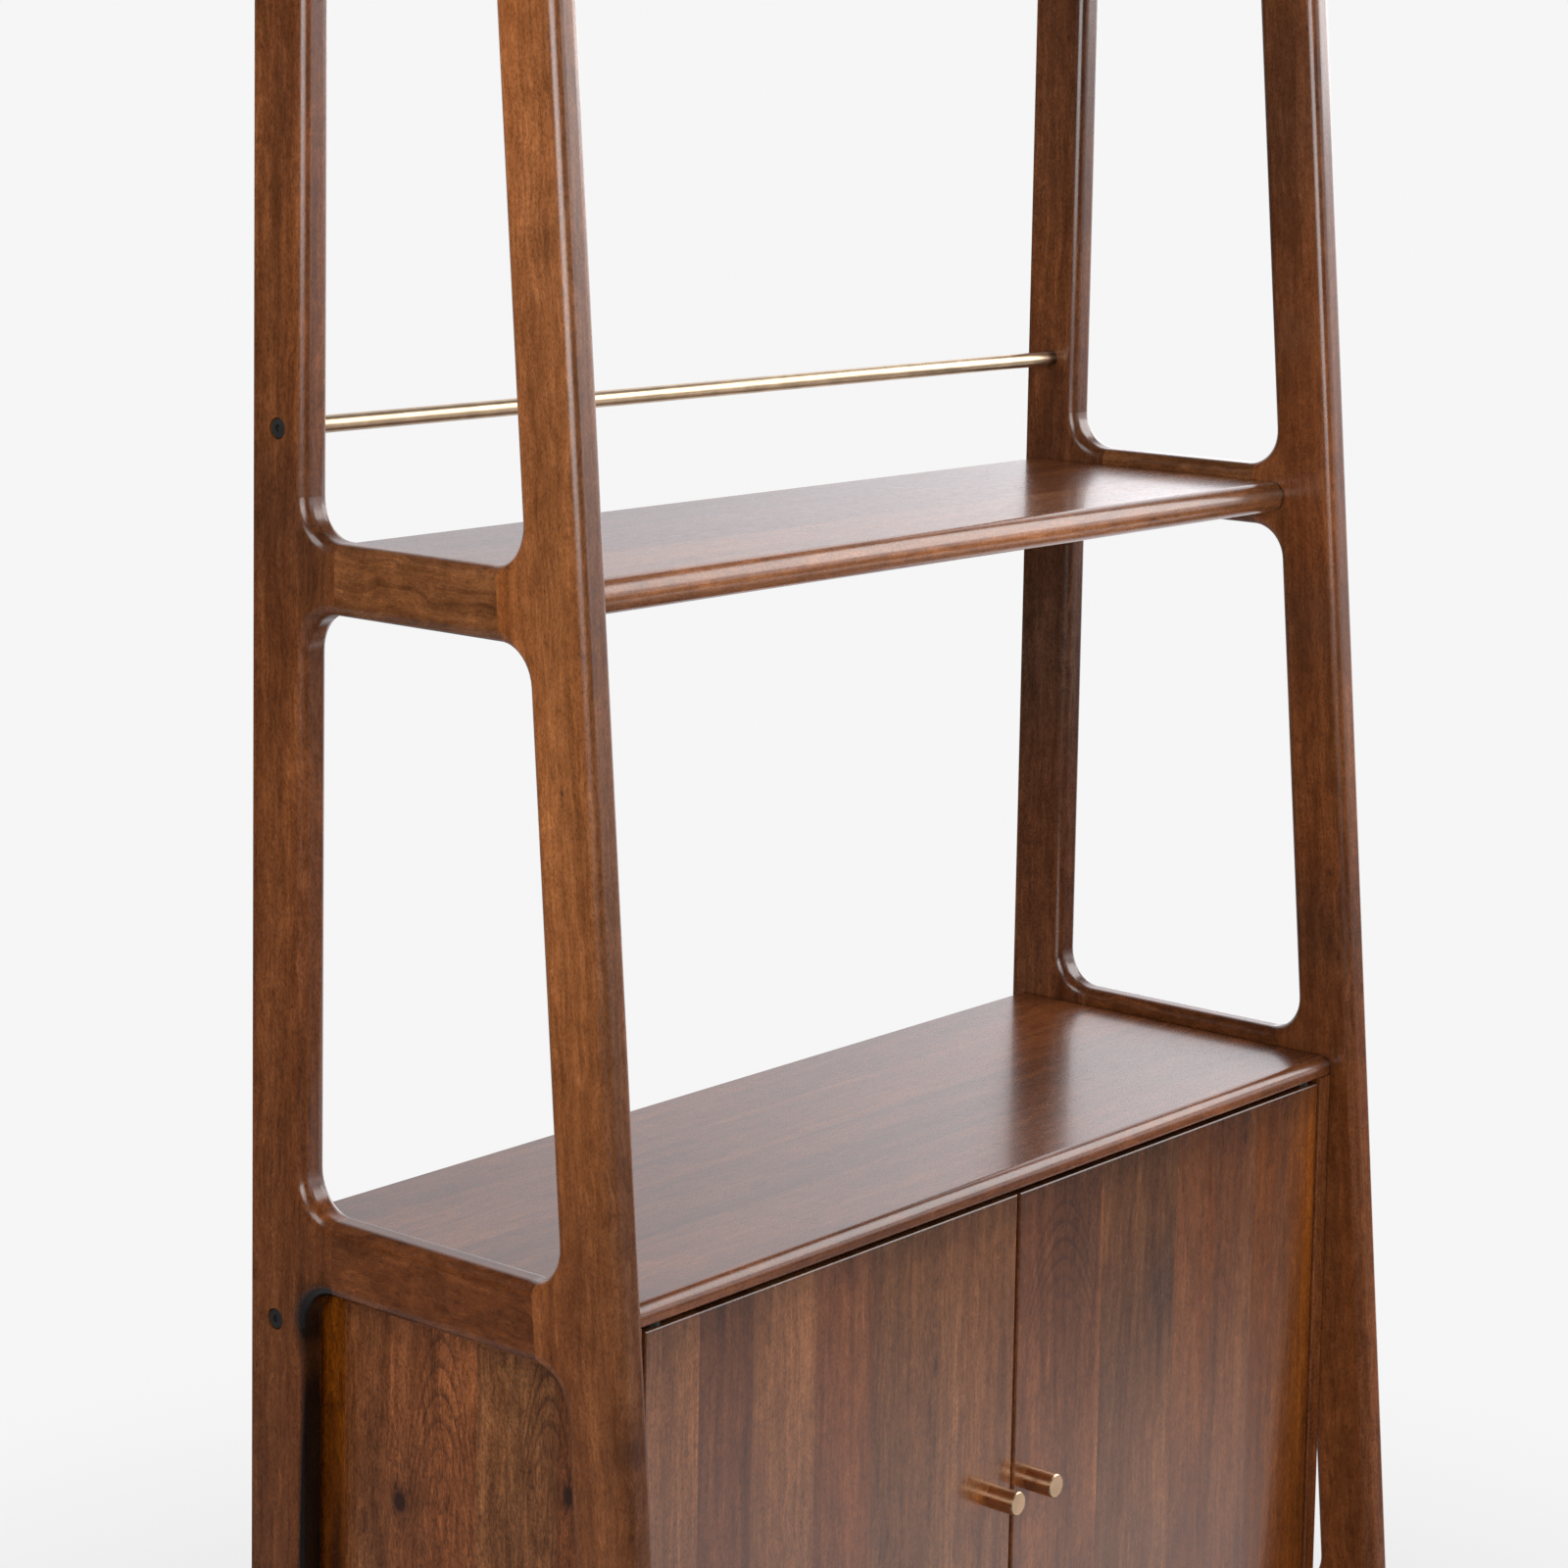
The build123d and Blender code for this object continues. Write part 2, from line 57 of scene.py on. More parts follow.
FLOOR_TONES = ((0.78, 0.78, 0.78, 1), (0.82, 0.82, 0.82, 1))

# Grain of the wood: how strongly each of its layers lightens or darkens it
LINE_WEIGHT = 0.95
MOTTLE_WEIGHT = 0.55
FLECK_WEIGHT = 2.0
BROAD_WEIGHT = 2.8
STREAK_WEIGHT = 0.95
CURL_WEIGHT = 1.8
RING_WEIGHT = -0.5
PORE_WEIGHT = -0.4
# Flecks are cut off above this, so they darken the wood more than they lighten it
FLECK_LIMIT = 0.06
# How far the fibres drift and ripple, in metres
DRIFT = 0.014
RIPPLE = 0.03
# How many growth rings the slow field is cut into
RING_COUNT = 16.0
# Red, green and blue: how much of the grain's darkness and of the hue's drift each takes
CHANNELS = ((1.0, 0.15), (1.12, -0.10), (1.25, -0.40))
# Sheen and relief of the lacquered grain
WOOD_ROUGH = 0.25
MOTTLE_ROUGH = 0.12
PORE_ROUGH = 0.10
LINE_HEIGHT = 0.4
PORE_HEIGHT = -0.9
# Turns a stave's red into a seed, so that staves of different colours differ in grain
STAVE_SEED = 570.0
# How a mark's push on the grain fades with the square of the distance from it
PUSH_FADE = -0.12

# Drawn lines of the metals: repeats per metre across them, and the share of that along them
DRAWN_LINES = 900.0
DRAWN_STRETCH = 0.02
# Where a rail enters a post, in metres from its middle, and the shade on it there
RAIL_END = 0.424
RAIL_END_SHADE = (0.03, 0.014, 0.006, 1)


def make_camera():
    """Camera solved from the straight edges of the photograph."""
    forward = Vector((
        math.sin(CAMERA_YAW) * math.cos(CAMERA_PITCH),
        math.cos(CAMERA_YAW) * math.cos(CAMERA_PITCH),
        -math.sin(CAMERA_PITCH),
    ))
    level = Vector((math.cos(CAMERA_YAW), -math.sin(CAMERA_YAW), 0))
    down = forward.cross(level)
    right = math.cos(CAMERA_ROLL) * level + math.sin(CAMERA_ROLL) * down
    down = -math.sin(CAMERA_ROLL) * level + math.cos(CAMERA_ROLL) * down
    data = bpy.data.cameras.new("photo_camera")
    data.sensor_width = SENSOR_MM
    data.lens = LENS_MM
    data.shift_y = SHIFT_Y
    data.clip_end = CLIP_END
    camera = bpy.data.objects.new("photo_camera", data)
    turn = Matrix((right, -down, -forward)).transposed().to_4x4()
    camera.matrix_world = Matrix.Translation(CAMERA_PLACE) @ turn
    scene.collection.objects.link(camera)
    scene.camera = camera
    return forward


class Tree:
    """Shorthand for building a node tree."""

    def __init__(self, tree):
        self.tree = tree

    def node(self, kind, inputs=None, **settings):
        made = self.tree.nodes.new(kind)
        for key, value in settings.items():
            setattr(made, key, value)
        for key, value in (inputs or {}).items():
            self.set(made.inputs[key], value)
        return made

    def set(self, socket, value):
        if isinstance(value, bpy.types.NodeSocket):
            self.tree.links.new(value, socket)
        else:
            socket.default_value = value

    def math(self, operation, *values):
        made = self.node("ShaderNodeMath", operation=operation)
        for socket, value in zip(made.inputs, values):
            self.set(socket, value)
        return made.outputs[0]

    def vector(self, operation, *values, out=0):
        made = self.node("ShaderNodeVectorMath", operation=operation)
        for socket, value in zip(made.inputs, values):
            self.set(socket, value)
        return made.outputs[out]

    def dot(self, vector, direction):
        return self.vector("DOT_PRODUCT", vector, direction, out="Value")

    def scaled(self, vector, factors):
        return self.vector("MULTIPLY", vector, factors)

    def combine(self, **parts):
        return self.node("ShaderNodeCombineXYZ", parts).outputs[0]

    def noise(self, vector, seed, scale=1.0, detail=2.0, rough=0.5):
        made = self.node(
            "ShaderNodeTexNoise",
            {"Vector": vector, "W": seed, "Scale": scale, "Detail": detail, "Roughness": rough},
            noise_dimensions="4D",
        )
        return made.outputs["Fac"]

    def centred(self, noise):
        """Noise about zero instead of about a half."""
        return self.math("SUBTRACT", noise, 0.5)

    def remap(self, value, low, high, to_low=0.0, to_high=1.0, smooth=True):
        made = self.node(
            "ShaderNodeMapRange",
            {"Value": value, "From Min": low, "From Max": high, "To Min": to_low, "To Max": to_high},
            interpolation_type="SMOOTHSTEP" if smooth else "LINEAR",
        )
        return made.outputs["Result"]

    def mix(self, factor, first, second):
        """Mix of two colours, which are the node's sockets 6 and 7."""
        made = self.node("ShaderNodeMix", data_type="RGBA")
        self.set(made.inputs["Factor"], factor)
        self.set(made.inputs[6], first)
        self.set(made.inputs[7], second)
        return made.outputs[2]

    def ramp(self, value, stops, interpolation="LINEAR"):
        made = self.node("ShaderNodeValToRGB", {"Fac": value})
        band = made.color_ramp
        band.interpolation = interpolation
        while len(band.elements) > 1:
            band.elements.remove(band.elements[-1])
        band.elements[0].position = stops[0][0]
        band.elements[0].color = (*stops[0][1], 1)
        for place, colour in stops[1:]:
            band.elements.new(place).color = (*colour, 1)
        return made.outputs["Color"]


def wood_group():
    """Grain of lacquered hardwood. X and Y of the place run across the grain, Z along it, in metres."""
    group = bpy.data.node_groups.new("hardwood", "ShaderNodeTree")
    inputs = {"Place": "Vector", "Seed": "Float", "Base": "Color", "Streak": "Float", "Curl": "Float",
              "Figure": "Float", "Pores": "Float", "Bend": "Float", "Fine": "Float"}
    outputs = {"Color": "Color", "Roughness": "Float", "Height": "Float"}
    for name, kind in inputs.items():
        group.interface.new_socket(name, in_out="INPUT", socket_type=f"NodeSocket{kind}")
    for name, kind in outputs.items():
        group.interface.new_socket(name, in_out="OUTPUT", socket_type=f"NodeSocket{kind}")
    t = Tree(group)
    given = t.node("NodeGroupInput").outputs
    place, seed = given["Place"], given["Seed"]

    # The fibres drift and ripple a little, and bow round whatever bends them
    drift = t.centred(t.noise(t.scaled(place, (4.0, 4.0, 1.5)), seed, detail=1.0))
    ripple = t.centred(t.noise(t.scaled(place, (30.0, 30.0, 19.0)), seed, detail=1.0))
    sway = t.math("MULTIPLY_ADD", drift, DRIFT, given["Bend"])
    sway = t.math("MULTIPLY_ADD", ripple, t.math("MULTIPLY", given["Curl"], RIPPLE), sway)
    bent = t.vector("ADD", place, t.combine(X=sway, Y=sway))

    def layer(across, along, detail=2.0, rough=0.55, shift=0.0):
        """Noise about zero, drawn out along the grain: repeats per metre across and along."""
        own = t.math("ADD", seed, shift)
        return t.centred(t.noise(t.scaled(bent, (across, across, along)), own, detail=detail, rough=rough))

    broad = layer(32.0, 2.6)
    streaks = layer(130.0, 6.0)
    lines = layer(420.0, 18.0, rough=0.6)
    mottle = layer(170.0, 95.0, rough=0.6, shift=2.3)
    fleck = t.math("MINIMUM", layer(780.0, 400.0, rough=0.7), FLECK_LIMIT)
    curl = layer(62.0, 48.0, detail=3.0, rough=0.6)
    hue = layer(24.0, 2.0, detail=1.0, shift=4.7)

    # Growth rings are the contours of a slow field drawn out along the grain
    field = t.noise(t.scaled(bent, (10.0, 10.0, 0.9)), seed, detail=1.0, rough=0.4)
    rings = t.math("FRACT", t.math("MULTIPLY", field, RING_COUNT))
    late = t.math("MULTIPLY", t.remap(rings, 0.5, 0.95), t.remap(rings, 1.0, 0.97))

    # Fine layers first, scaled for the piece, then the broader ones
    value = t.math("MULTIPLY", lines, LINE_WEIGHT)
    value = t.math("MULTIPLY_ADD", mottle, MOTTLE_WEIGHT, value)
    value = t.math("MULTIPLY_ADD", fleck, FLECK_WEIGHT, value)
    value = t.math("MULTIPLY", value, given["Fine"])
    value = t.math("MULTIPLY_ADD", broad, t.math("MULTIPLY", given["Streak"], BROAD_WEIGHT), value)
    value = t.math("MULTIPLY_ADD", streaks, STREAK_WEIGHT, value)
    value = t.math("MULTIPLY_ADD", curl, t.math("MULTIPLY", given["Curl"], CURL_WEIGHT), value)
    value = t.math("MULTIPLY_ADD", late, t.math("MULTIPLY", given["Figure"], RING_WEIGHT), value)

    # Darker wood is also redder, and the hue drifts between olive and russet
    parts = []
    for darkness, turn in CHANNELS:
        power = t.math("MULTIPLY_ADD", hue, turn, t.math("MULTIPLY", value, darkness))
        parts.append(t.math("EXPONENT", power))
    gain = t.combine(X=parts[0], Y=parts[1], Z=parts[2])

    # Open pores: short dark dashes along the grain, stronger in some patches than in others
    pore = t.remap(t.noise(t.scaled(bent, (750.0, 750.0, 150.0)), seed, detail=1.0), 0.57, 0.68)
    patch = t.remap(t.noise(t.scaled(bent, (55.0, 55.0, 8.0)), seed, detail=1.0), 0.35, 0.65)
    pore = t.math("MULTIPLY", pore, t.math("MULTIPLY_ADD", patch, 0.6, 0.4))
    pore = t.math("MULTIPLY", pore, given["Pores"])
    colour = t.vector("MULTIPLY", given["Base"], gain)
    colour = t.vector("MULTIPLY", colour, t.math("MULTIPLY_ADD", pore, PORE_WEIGHT, 1.0))

    rough = t.math("MULTIPLY_ADD", mottle, MOTTLE_ROUGH, WOOD_ROUGH)
    rough = t.math("MULTIPLY_ADD", pore, PORE_ROUGH, rough)
    height = t.math("MULTIPLY_ADD", pore, PORE_HEIGHT, t.math("MULTIPLY", lines, LINE_HEIGHT))
    t.node("NodeGroupOutput", {"Color": colour, "Roughness": rough, "Height": height})
    return group


HARDWOOD = wood_group()
KNOT = (0.040, 0.013, 0.007)


class Mark(NamedTuple):
    """A soft spot in the wood: its place and its radii across and along the grain, and its strength.

    The push is how far it bends the grain round it, in metres. A mark of the knot's colour lies over the
    grain, one of any other colour under it. Within gives the limits across the grain, if there are any.
    """

    across: float
    along: float
    width: float
    length: float
    strength: float
    push: float = 0.0
    colour: tuple = KNOT
    within: tuple = ()


class Arch(NamedTuple):
    """Growth rings cut as arches: their middle and peak, how wide they open and how sharply they bow,
    the pitch and reach of their lines, and their strength."""

    across: float
    peak: float
    half_width: float
    bow: float
    pitch: float
    reach: float
    strength: float


def tint(across, along, width, length, strength, colour, within=()):
    """A mark that colours the wood and leaves its grain straight."""
    return Mark(across, along, width, length, strength, 0.0, colour, within)


def mark_share(t, u, w, mark):
    """How much of a mark shows at a place, the square of the distance from it, and the distance across.

    Both distances are counted in the mark's radii.
    """
    du = t.math("DIVIDE", t.math("SUBTRACT", u, mark.across), mark.width)
    dw = t.math("DIVIDE", t.math("SUBTRACT", w, mark.along), mark.length)
    far = t.math("ADD", t.math("MULTIPLY", du, du), t.math("MULTIPLY", dw, dw))
    share = t.math("MULTIPLY", t.math("EXPONENT", t.math("MULTIPLY", far, -1.0)), mark.strength)
    if mark.within:
        inside = t.math("GREATER_THAN", u, mark.within[0])
        inside = t.math("MULTIPLY", inside, t.math("LESS_THAN", u, mark.within[1]))
        share = t.math("MULTIPLY", share, inside)
    return share, far, du


def arch_share(t, u, w, arch):
    """How dark the arches' lines are at a place."""
    off = t.math("SUBTRACT", u, arch.across)
    sunk = t.math("MULTIPLY", t.math("MULTIPLY", off, off), arch.bow)
    depth = t.math("SUBTRACT", t.math("SUBTRACT", arch.peak, w), sunk)
    turn = t.math("FRACT", t.math("DIVIDE", depth, arch.pitch))
    line = t.math("MULTIPLY", t.remap(turn, 0.45, 0.9), t.remap(turn, 1.0, 0.92))
    below = t.remap(depth, 0.0, arch.pitch)
    inside = t.math("MULTIPLY", below, t.remap(depth, arch.reach, arch.reach * 0.3))
    near = t.remap(t.math("ABSOLUTE", off), arch.half_width, arch.half_width * 0.7)
    return t.math("MULTIPLY", t.math("MULTIPLY", line, inside), t.math("MULTIPLY", near, arch.strength))


def new_material(name):
    """A new material, its node tree, its shader, and the place on the piece in metres."""
    material = bpy.data.materials.new(name)
    material.use_nodes = True
    t = Tree(material.node_tree)
    shader = material.node_tree.nodes["Principled BSDF"]
    where = t.node("ShaderNodeTexCoord").outputs["Object"]
    return material, t, shader, where


def add_bump(t, shader, height, strength, distance):
    """Fine relief on a material."""
    bump = t.node("ShaderNodeBump", {"Height": height, "Strength": strength, "Distance": distance})
    t.set(shader.inputs["Normal"], bump.outputs[0])


def wood(name, along, across, seed, base, streak=0.5, curl=0.25, figure=0.2, pores=0.6, fine=1.0,
         marks=(), arches=()):
    """Lacquered wood of one piece, its grain along one direction.

    The base is one colour, or staves as a list of pairs of a lower edge and a colour. Streak, curl, figure,
    pores and fine say how strong the broad streaks, curls, growth rings, pores and fine lines are.
    """
    material, t, shader, where = new_material(name)
    along = Vector(along).normalized()
    across = Vector(across).normalized()
    u = t.dot(where, across)
    v = t.dot(where, along.cross(across))
    w = t.dot(where, along)
    if isinstance(base, list):
        low = base[0][0]
        run = t.remap(u, low, low + 1.0, smooth=False)
        base = t.ramp(run, [(max(0.0, edge - low), colour) for edge, colour in base], "CONSTANT")
        red = t.node("ShaderNodeSeparateColor", {"Color": base}).outputs[0]
        seed = t.math("MULTIPLY_ADD", red, STAVE_SEED, seed)
    else:
        base = (*base, 1)
    bend = None
    knots = []
    for mark in marks:
        share, far, du = mark_share(t, u, w, mark)
        if mark.colour is KNOT:
            knots.append(share)
        else:
            base = t.mix(share, base, (*mark.colour, 1))
        if mark.push:
            wide = t.math("EXPONENT", t.math("MULTIPLY", far, PUSH_FADE))
            moved = t.math("MULTIPLY", t.math("MULTIPLY", t.math("TANH", du), wide), -mark.push)
            bend = moved if bend is None else t.math("ADD", bend, moved)
    for arch in arches:
        knots.append(arch_share(t, u, w, arch))
    inputs = {"Place": t.combine(X=u, Y=v, Z=w), "Seed": seed, "Base": base, "Streak": streak, "Curl": curl,
              "Figure": figure, "Pores": pores, "Fine": fine}
    if bend is not None:
        inputs["Bend"] = bend
    grain = t.node("ShaderNodeGroup", node_tree=HARDWOOD)
    for key, value in inputs.items():
        t.set(grain.inputs[key], value)
    colour = grain.outputs["Color"]
    for share in knots:
        colour = t.mix(share, colour, (*KNOT, 1))
    t.set(shader.inputs["Base Color"], colour)
    t.set(shader.inputs["Roughness"], grain.outputs["Roughness"])
    add_bump(t, shader, grain.outputs["Height"], 0.07, 0.0004)
    shader.inputs["IOR"].default_value = 1.5
    shader.inputs["Coat Weight"].default_value = 0.3
    shader.inputs["Coat Roughness"].default_value = 0.13
    return material


def metal(name, colour, rough, along, seed, metallic=1.0, ends=None):
    """Satin metal with fine drawn lines along one direction, in shade near its ends if they are given."""
    material, t, shader, where = new_material(name)
    factors = [DRAWN_LINES * (DRAWN_STRETCH if a else 1.0) for a in along]
    lines = t.noise(t.scaled(where, factors), seed, detail=3.0, rough=0.6)
    cloud = t.noise(where, seed, scale=60.0, detail=2.0)
    level = t.math("MULTIPLY_ADD", t.centred(lines), 0.5, cloud)
    darker = tuple(c * 0.72 for c in colour)
    tone = t.mix(t.remap(level, 0.25, 0.75), (*darker, 1), (*colour, 1))
    if ends:
        out = t.math("ABSOLUTE", t.dot(where, along))
        near = t.remap(out, ends - 0.014, ends - 0.004, 0.0, 0.75)
        tone = t.mix(near, tone, RAIL_END_SHADE)
    t.set(shader.inputs["Base Color"], tone)
    t.set(shader.inputs["Roughness"], t.math("MULTIPLY_ADD", t.centred(lines), 0.2, rough))
    add_bump(t, shader, lines, 0.1, 0.0002)
    shader.inputs["Metallic"].default_value = metallic
    return material


def plastic(name, colour, rough, seed):
    """Moulded plastic with a fine grain."""
    material, t, shader, where = new_material(name)
    grain = t.noise(where, seed, scale=1800.0, detail=2.0)
    cloud = t.noise(where, seed + 2, scale=45.0, detail=2.0)
    pale = tuple(min(1.0, c * 1.5 + 0.01) for c in colour)
    tone = t.mix(t.remap(cloud, 0.3, 0.7), (*colour, 1), (*pale, 1))
    t.set(shader.inputs["Base Color"], tone)
    t.set(shader.inputs["Roughness"], t.math("MULTIPLY_ADD", t.centred(grain), 0.25, rough))
    add_bump(t, shader, grain, 0.15, 0.0002)
    return material


def dress(name, material):
    """Give one CAD node its material."""
    for slot in nodes[name].material_slots:
        slot.link = "OBJECT"
        slot.material = material


# Directions: the front legs lean back along LEAN, and SQUARE lies across them
X, Y, Z = (1, 0, 0), (0, 1, 0), (0, 0, 1)
SLOPE = math.tan(math.radians(4.75))
LEAN = (0, SLOPE, 1)
SQUARE = (0, 1, -SLOPE)
LEVELS = ("lower", "cabinet", "middle", "upper", "top")

# Colours of the wood, and of stain and painted shade on it
AMBER = (0.310, 0.104, 0.030)
TAN = (0.240, 0.088, 0.031)
RUSSET = (0.200, 0.062, 0.019)
OLIVE = (0.180, 0.065, 0.021)
UMBER = (0.165, 0.050, 0.014)
PLUM = (0.130, 0.041, 0.014)
SMOKE = (0.070, 0.031, 0.017)
ORANGE = (0.300, 0.072, 0.004)
RUST = (0.194, 0.052, 0.006)
# Black of the painted shade in corners, in gaps and where boards meet the frames
SHADOW_BLACK = (0.004, 0.002, 0.001)
BEECH = (0.52, 0.34, 0.18)

# Radius of a mark that runs over the whole width of any piece
WHOLE = 9.0


def shade(colour, level):
    """One of the wood's colours, lighter or darker."""
    return tuple(round(c * level, 4) for c in colour)


# Frames: each stick has its own grain, and the right ones are cut from darker stock. Rungs have a colour for
# each level, which is darker on the right.
FRAME_WOOD = {
    "left": {"post": shade(UMBER, 1.0), "leg": shade(AMBER, 1.02), "rung_shade": 1.0},
    "right": {"post": shade(PLUM, 0.92), "leg": shade(UMBER, 1.27), "rung_shade": 0.9},
}
RUNG_WOOD = {
    "lower": shade(UMBER, 0.95),
    "cabinet": shade(UMBER, 0.92),
    "middle": shade(OLIVE, 1.10),
    "upper": shade(UMBER, 1.03),
    "top": shade(UMBER, 1.08),
}
# Painted shade along a back post's front edge beside the cabinet, where the side panel shades it, and in the
# rounded corner at its top
CORNER_SHADE = [
    tint(0.1447, 0.30, 0.0029, 0.16, 6.0, SHADOW_BLACK),
    tint(0.1185, 0.5355, 0.0157, 0.0157, 38.0, SHADOW_BLACK),
]
# Painted shade: the left leg is darker and greyer along its front edge
FRONT_EDGE_SHADE = tint(-0.197, 0.9, 0.006, 3.0, 0.55, SMOKE)
FRAME_MARKS = {
    "left_post": [
        Mark(0.163, 1.363, 0.012, 0.05, 0.35),
        Mark(0.154, 1.04, 0.03, 0.09, 0.25),
        *CORNER_SHADE,
        tint(0.170, 1.36, 0.1, 0.10, 0.75, shade(RUSSET, 1.2)),
        tint(0.170, 1.09, 0.1, 0.05, 0.35, SMOKE),
        tint(0.170, 0.80, 0.1, 0.12, 0.55, shade(RUSSET, 1.15)),
        tint(0.170, 1.54, 0.1, 0.07, 0.5, shade(OLIVE, 1.15)),
    ],
    "left_leg": [
        Mark(-0.177, 1.272, 0.008, 0.02, 0.3),
        Mark(-0.169, 0.924, 0.0015, 0.002, 0.8),
        Mark(-0.121, 1.0225, 0.002, 0.003, 0.5),
        Mark(-0.193, 0.506, 0.008, 0.016, 0.5),
        tint(-0.170, 1.26, 0.2, 0.16, 0.6, shade(TAN, 1.55)),
        tint(-0.170, 0.97, 0.2, 0.06, 0.55, shade(AMBER, 1.3)),
        # Painted shade: the leg is darker towards the bottom, where less light falls on it
        tint(-0.170, 0.54, 0.2, 0.2, 0.7, UMBER),
        tint(-0.125, 1.045, 0.0055, 0.03, 0.3, ORANGE),
        FRONT_EDGE_SHADE,
    ],
    "right_post": [
        *CORNER_SHADE,
        # Painted shadow of the middle shelf on the post below it
        tint(0.170, 0.90, 0.1, 0.11, 0.75, SMOKE),
        tint(0.180, 1.21, 0.1, 0.06, 0.6, shade(UMBER, 1.2)),
    ],
    "right_leg": [
        Mark(-0.178, 0.737, 0.003, 0.004, 0.6, 0.004),
        Mark(-0.177, 0.682, 0.003, 0.005, 0.6, 0.004),
        Mark(-0.184, 0.670, 0.003, 0.004, 0.5, 0.003),
        tint(-0.178, 0.82, 0.1, 0.07, 0.5, AMBER),
        tint(-0.170, 0.94, 0.1, 0.04, 0.4, shade(SMOKE, 1.6)),
        tint(-0.170, 0.69, 0.1, 0.045, 0.45, shade(SMOKE, 1.6)),
        tint(-0.170, 1.36, 0.1, 0.14, 0.5, shade(SMOKE, 1.8)),
    ],
}
for side, first_seed in (("left", 0), ("right", 40)):
    stock = FRAME_WOOD[side]
    post = wood(f"{side}_post_wood", Z, Y, first_seed + 1.3, stock["post"], streak=0.65, curl=0.4, fine=1.25,
                marks=FRAME_MARKS[f"{side}_post"])
    leg = wood(f"{side}_leg_wood", LEAN, SQUARE, first_seed + 7.9, stock["leg"], streak=0.5, curl=0.45,
               fine=1.1, marks=FRAME_MARKS[f"{side}_leg"])
    dress(f"{side}_back_post", post)
    dress(f"{side}_front_leg", leg)
    for i, level in enumerate(LEVELS):
        tone = shade(RUNG_WOOD[level], stock["rung_shade"])
        rung = wood(f"{side}_{level}_rung_wood", Y, Z, first_seed + 11.7 + 3.1 * i, tone, streak=0.3,
                    curl=0.9, figure=0.5, pores=0.5)
        dress(f"{side}_{level}_rung", rung)


def staves_over(low, high, width, seed, colours):
    """Staves of about one width from low to high, in colours that take turns unevenly."""
    count = max(1, round((high - low) / width))
    found = []
    for i in range(count):
        turn = math.sin(12.9898 * (i + 1) + 78.233 * seed) * 43758.5453
        turn -= math.floor(turn)
        colour = colours[int(turn * 97) % len(colours)]
        found.append((low + (high - low) * (i + 0.3 * turn) / count, shade(colour, 0.94 + 0.12 * turn)))
    return found


# Boards: staves along the width, glued side by side, with painted shade at both ends where they meet the
# frames
BOARDS = ("cabinet_bottom", "cabinet_top", "middle_shelf", "upper_shelf", "top_shelf", "inner_shelf")
BOARD_STAVE = 0.075
BOARD_COLOURS = (UMBER, RUSSET, shade(UMBER, 1.1))
BOARD_MARKS = {
    "cabinet_top": [Mark(-0.093, 0.152, 0.004, 0.016, 0.35)],
    # Painted shade on the middle shelf's nose near the right leg
    "middle_shelf": [tint(-0.110, 0.36, 0.05, 0.16, 0.6, PLUM)],
}
for i, name in enumerate(BOARDS):
    low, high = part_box(name)
    # Painted contact shadow at each end, where the board meets a frame
    ends = [tint(0, x, WHOLE, 0.003, 0.8, SHADOW_BLACK) for x in (low.x, high.x)]
    staves = staves_over(low.y, high.y, BOARD_STAVE, i + 0.5, BOARD_COLOURS)
    if name == "middle_shelf":
        staves[0] = (low.y, shade(TAN, 1.28))
    dress(name, wood(f"{name}_wood", X, Y, 101.3 + 5.7 * i, staves, streak=0.45, curl=0.45, figure=0.25,
                     pores=0.5, marks=BOARD_MARKS.get(name, []) + ends))

# Doors and cabinet sides: upright staves, as pairs of the edge where one starts and its colour
LEFT_DOOR = [
    (-0.4045, shade(TAN, 1.02)), (-0.3526, shade(PLUM, 1.21)), (-0.2972, shade(TAN, 0.98)),
    (-0.2293, shade(RUSSET, 0.95)), (-0.1673, shade(OLIVE, 1.02)), (-0.0823, shade(TAN, 0.93)),
]
RIGHT_DOOR = [
    (0.0013, shade(PLUM, 1.18)), (0.1039, shade(OLIVE, 0.86)), (0.2022, shade(UMBER, 1.06)), (0.3117, RUST),
]
SIDE = [
    (-0.130, shade(UMBER, 1.2)), (-0.0693, shade(OLIVE, 1.18)), (-0.0218, shade(OLIVE, 1.36)),
    (0.0042, shade(RUSSET, 1.36)), (0.0610, shade(RUSSET, 1.2)), (0.0854, shade(UMBER, 1.14)),
    (0.1282, shade(ORANGE, 0.70)),
]


def knob_glow(side):
    """Warm light that the knob throws on the door beside it."""
    low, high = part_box(f"{side}_knob")
    return tint((low.x + high.x) / 2 - 0.014, (low.z + high.z) / 2 + 0.002, 0.010, 0.009, 0.55, ORANGE)


def painted_top_shadow(side):
    """Painted shadow along a door's top edge, under the top board's overhang: a soft band, and a dark rim
    for the gap.
    """
    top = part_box(f"{side}_door")[1].z
    return [tint(0, top, WHOLE, 0.025, 0.35, SHADOW_BLACK), tint(0, top + 0.001, WHOLE, 0.0025, 0.5, SHADOW_BLACK)]


left_glow = knob_glow("left")
LEFT_DOOR_MARKS = [
    Mark(-0.0948, 0.4807, 0.0035, 0.007, 0.75, 0.004),
    Mark(-0.1005, 0.4493, 0.003, 0.012, 0.45, 0.003),
    Mark(-0.3010, 0.42, 0.003, 0.20, 0.35),
    Mark(-0.1640, 0.53, 0.003, 0.08, 0.3),
    Mark(-0.39, 0.56, 0.02, 0.03, 0.2),
    Mark(left_glow.across - 0.001, left_glow.along - 0.045, 0.004, 0.025, 0.5),
    left_glow,
    *painted_top_shadow("left"),
]
